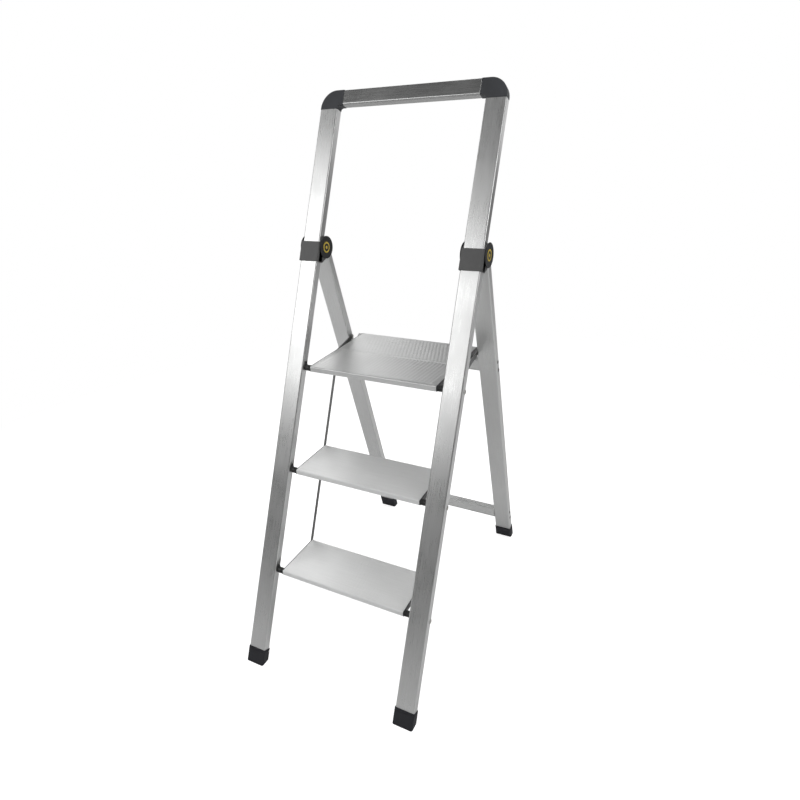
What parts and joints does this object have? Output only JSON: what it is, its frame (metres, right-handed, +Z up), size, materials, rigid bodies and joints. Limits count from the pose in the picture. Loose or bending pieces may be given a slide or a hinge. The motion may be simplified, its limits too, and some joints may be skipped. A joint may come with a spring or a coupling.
{
  "type": "folding step ladder",
  "caption": "Slim folding aluminium step ladder with flat treads, a deep two-plank platform, a hand rail above it and rear legs that fold flat.",
  "frame": {"origin": "on the floor, at the middle of the footprint of the open ladder", "axes": "+Z up, +Y from the climber towards the rear legs, +X to the climber's right"},
  "size_m": [0.4714, 0.743, 1.2779],
  "materials": {
    "anodised": "satin anodised, brushed lengthwise",
    "tread_aluminium": "satin extrusion with fine anti-slip ribs",
    "slate_plastic": "dark slate moulded plastic, fine grain",
    "black_plastic": "near-black moulded plastic, fine grain",
    "foot_rubber": "matt black rubber",
    "zinc_steel": "zinc plated",
    "dark_steel": "dark grey satin coating"
  },
  "bodies": {
    "front_frame": {"front_rail_left": "anodised", "front_rail_right": "anodised", "top_rail": "anodised", "corner_cap_left": "slate_plastic", "corner_cap_right": "slate_plastic", "front_foot_left": "foot_rubber", "front_foot_right": "foot_rubber", "hinge_clamp_left": "slate_plastic", "hinge_clamp_right": "slate_plastic", "hinge_cap_inner_left": "black_plastic", "hinge_cap_inner_right": "black_plastic", "hinge_cap_outer_left": "black_plastic", "hinge_cap_outer_right": "black_plastic", "hinge_pin_left": "zinc_steel", "hinge_pin_right": "zinc_steel", "tread_bracket_1_left": "black_plastic", "tread_bracket_1_right": "black_plastic", "tread_pin_1_left": "zinc_steel", "tread_pin_1_right": "zinc_steel", "tread_bracket_2_left": "black_plastic", "tread_bracket_2_right": "black_plastic", "tread_pin_2_left": "zinc_steel", "tread_pin_2_right": "zinc_steel", "tread_bracket_3_left": "black_plastic", "tread_bracket_3_right": "black_plastic", "tread_pin_3_left": "zinc_steel", "tread_pin_3_right": "zinc_steel"},
    "rear_frame": {"rear_leg_left": "anodised", "rear_leg_right": "anodised", "upper_crossbar": "anodised", "lower_crossbar": "anodised", "leg_head_left": "black_plastic", "leg_head_right": "black_plastic", "rear_foot_left": "foot_rubber", "rear_foot_right": "foot_rubber", "stay_pin_left": "zinc_steel", "stay_pin_right": "zinc_steel", "upper_crossbar_screw_1_left": "zinc_steel", "upper_crossbar_screw_1_right": "zinc_steel", "upper_crossbar_screw_2_left": "zinc_steel", "upper_crossbar_screw_2_right": "zinc_steel", "lower_crossbar_screw_1_left": "zinc_steel", "lower_crossbar_screw_1_right": "zinc_steel", "lower_crossbar_screw_2_left": "zinc_steel", "lower_crossbar_screw_2_right": "zinc_steel"},
    "lower_tread": {"tread_1": "tread_aluminium", "tread_1_end_cap_left": "black_plastic", "tread_1_end_cap_right": "black_plastic"},
    "middle_tread": {"tread_2": "tread_aluminium", "tread_2_end_cap_left": "black_plastic", "tread_2_end_cap_right": "black_plastic"},
    "platform": {"platform_front": "tread_aluminium", "platform_rear": "tread_aluminium", "platform_end_cap_left": "black_plastic", "platform_end_cap_right": "black_plastic"},
    "link_rods": {"link_rod_left": "dark_steel", "link_rod_right": "dark_steel"},
    "stay_arms": {"stay_arm_left": "dark_steel", "stay_arm_right": "dark_steel"}
  },
  "joints": [
    {"name": "rear_fold", "type": "hinge", "parent": "front_frame", "child": "rear_frame", "pos_m": [0, 0.09656, 0.93792], "axis": [-1, 0, 0], "range_deg": [0, 40]},
    {"name": "lower_tread_fold", "type": "hinge", "parent": "front_frame", "child": "lower_tread", "pos_m": [0, -0.25268, 0.215], "axis": [1, 0, 0], "range_deg": [0, 65]},
    {"name": "middle_tread_fold", "type": "hinge", "parent": "front_frame", "child": "middle_tread", "pos_m": [0, -0.14543, 0.445], "axis": [1, 0, 0], "range_deg": [0, 65]},
    {"name": "platform_fold", "type": "hinge", "parent": "front_frame", "child": "platform", "pos_m": [0, -0.03818, 0.675], "axis": [1, 0, 0], "range_deg": [0, 65]},
    {"name": "link_rod_swing", "type": "hinge", "parent": "platform", "child": "link_rods", "pos_m": [0, 0.08333, 0.664], "axis": [1, 0, 0], "range_deg": [-65, 0]},
    {"name": "stay_arm_swing", "type": "hinge", "parent": "rear_frame", "child": "stay_arms", "pos_m": [0, 0.17655, 0.6819], "axis": [-1, 0, 0], "range_deg": [0, 79.22]}
  ],
  "couplings": [
    {"joint": "lower_tread_fold", "follows": "rear_fold", "ratio": 1.625},
    {"joint": "middle_tread_fold", "follows": "rear_fold", "ratio": 1.625},
    {"joint": "platform_fold", "follows": "rear_fold", "ratio": 1.625},
    {"joint": "link_rod_swing", "follows": "rear_fold", "ratio": -1.625},
    {"joint": "stay_arm_swing", "follows": "rear_fold", "ratio": 1.9803}
  ]
}
